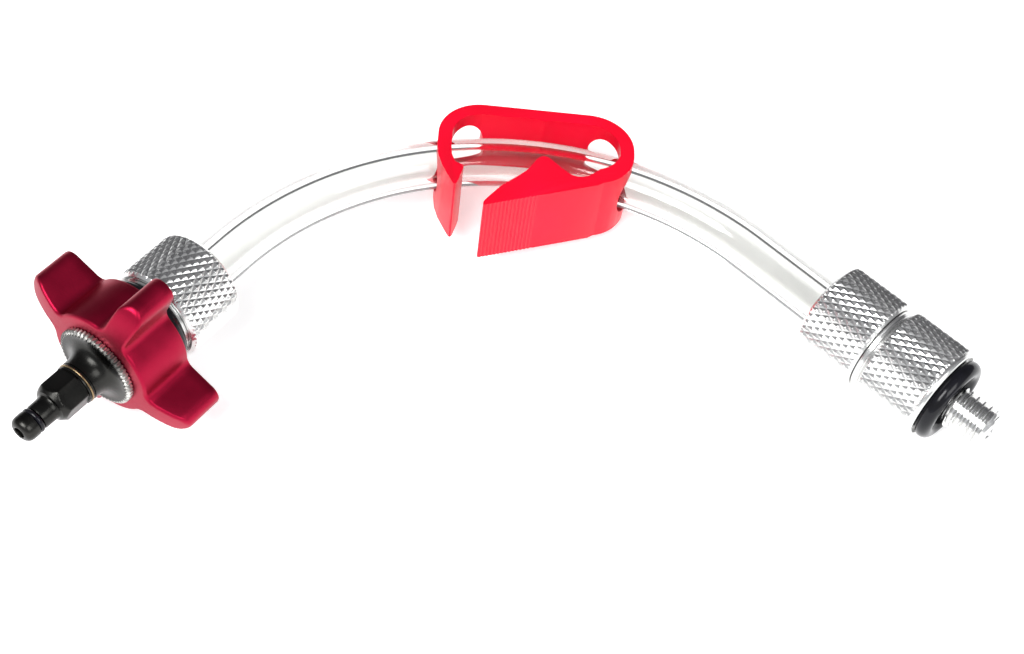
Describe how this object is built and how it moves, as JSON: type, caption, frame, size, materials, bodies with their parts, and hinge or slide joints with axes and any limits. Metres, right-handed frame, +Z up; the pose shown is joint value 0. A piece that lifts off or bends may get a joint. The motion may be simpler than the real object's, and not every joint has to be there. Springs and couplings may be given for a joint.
{
  "type": "bleed hose adapter with pinch clamp",
  "caption": "Short clear fill-and-bleed hose: winged knob with a black hex probe on one end, threaded knurled fitting on the other, red plastic pinch clamp on the tube.",
  "frame": {"origin": "centre of the bounding box in X and Y, on the plane it rests on", "axes": "+Z up from the bench; X runs from the winged knob at -X to the threaded fitting at +X; the tube bulges toward +Y"},
  "size_m": [0.1004, 0.0527, 0.0203],
  "materials": {
    "clear_tube": "clear",
    "silver_metal": "bright machined",
    "crimson_metal": "satin anodised",
    "black_steel": "black oxide",
    "seal_rubber": "smooth",
    "brass": "turned",
    "red_plastic": "glossy moulded"
  },
  "bodies": {
    "hose_line": {"hose": "clear_tube", "left_stem": "silver_metal", "right_body": "silver_metal", "right_face_o_ring": "seal_rubber"},
    "left_ferrule": {"left_ferrule": "brass"},
    "left_nut": {"left_nut": "silver_metal"},
    "right_ferrule": {"right_ferrule": "brass"},
    "right_nut": {"right_nut": "silver_metal"},
    "knob_seal": {"left_face_o_ring": "seal_rubber"},
    "knob": {"knob": "crimson_metal", "probe": "black_steel", "probe_stop_ring": "brass", "probe_tip_o_ring": "seal_rubber"},
    "clamp_frame": {"clamp_frame": "red_plastic"},
    "clamp_arm": {"clamp_arm": "red_plastic"}
  },
  "joints": [
    {"name": "knob_travel", "type": "slide", "parent": "hose_line", "child": "knob_seal", "axis": [-0.4602, -0.8846, 0.0761], "range_m": [0, 0.0048]},
    {"name": "knob_screw", "type": "hinge", "parent": "knob_seal", "child": "knob", "pos_m": [-0.04054, -0.01319, 0.01018], "axis": [-0.4602, -0.8846, 0.0761], "range_deg": [0, 2161]},
    {"name": "left_nut_travel", "type": "slide", "parent": "hose_line", "child": "left_ferrule", "axis": [0.4602, 0.8846, -0.0761], "range_m": [0, 0.00225]},
    {"name": "left_nut_screw", "type": "hinge", "parent": "left_ferrule", "child": "left_nut", "pos_m": [-0.03704, -0.00647, 0.0096], "axis": [0.4602, 0.8846, -0.0761], "range_deg": [0, 1081]},
    {"name": "right_nut_travel", "type": "slide", "parent": "hose_line", "child": "right_ferrule", "axis": [-0.7824, 0.6227, -0.0001], "range_m": [0, 0.00225]},
    {"name": "right_nut_screw", "type": "hinge", "parent": "right_ferrule", "child": "right_nut", "pos_m": [0.0347, 0.00384, 0.0055], "axis": [-0.7824, 0.6227, -0.0001], "range_deg": [0, 1081]},
    {"name": "clamp_slide", "type": "hinge", "parent": "hose_line", "child": "clamp_frame", "pos_m": [0.00007, -0.01638, 0.00841], "axis": [0.0482, 0.0607, 0.997], "range_deg": [-24, 37]},
    {"name": "clamp_pinch", "type": "hinge", "parent": "clamp_frame", "child": "clamp_arm", "pos_m": [0.00778, 0.02048, 0.00579], "axis": [-0.0482, -0.0607, -0.997], "range_deg": [0, 21.5], "deforming": ["hose"]}
  ],
  "couplings": [
    {"joint": "knob_screw", "follows": "knob_travel", "rad_per_m": 7854},
    {"joint": "left_nut_screw", "follows": "left_nut_travel", "rad_per_m": 8377.6},
    {"joint": "right_nut_screw", "follows": "right_nut_travel", "rad_per_m": 8377.6}
  ]
}
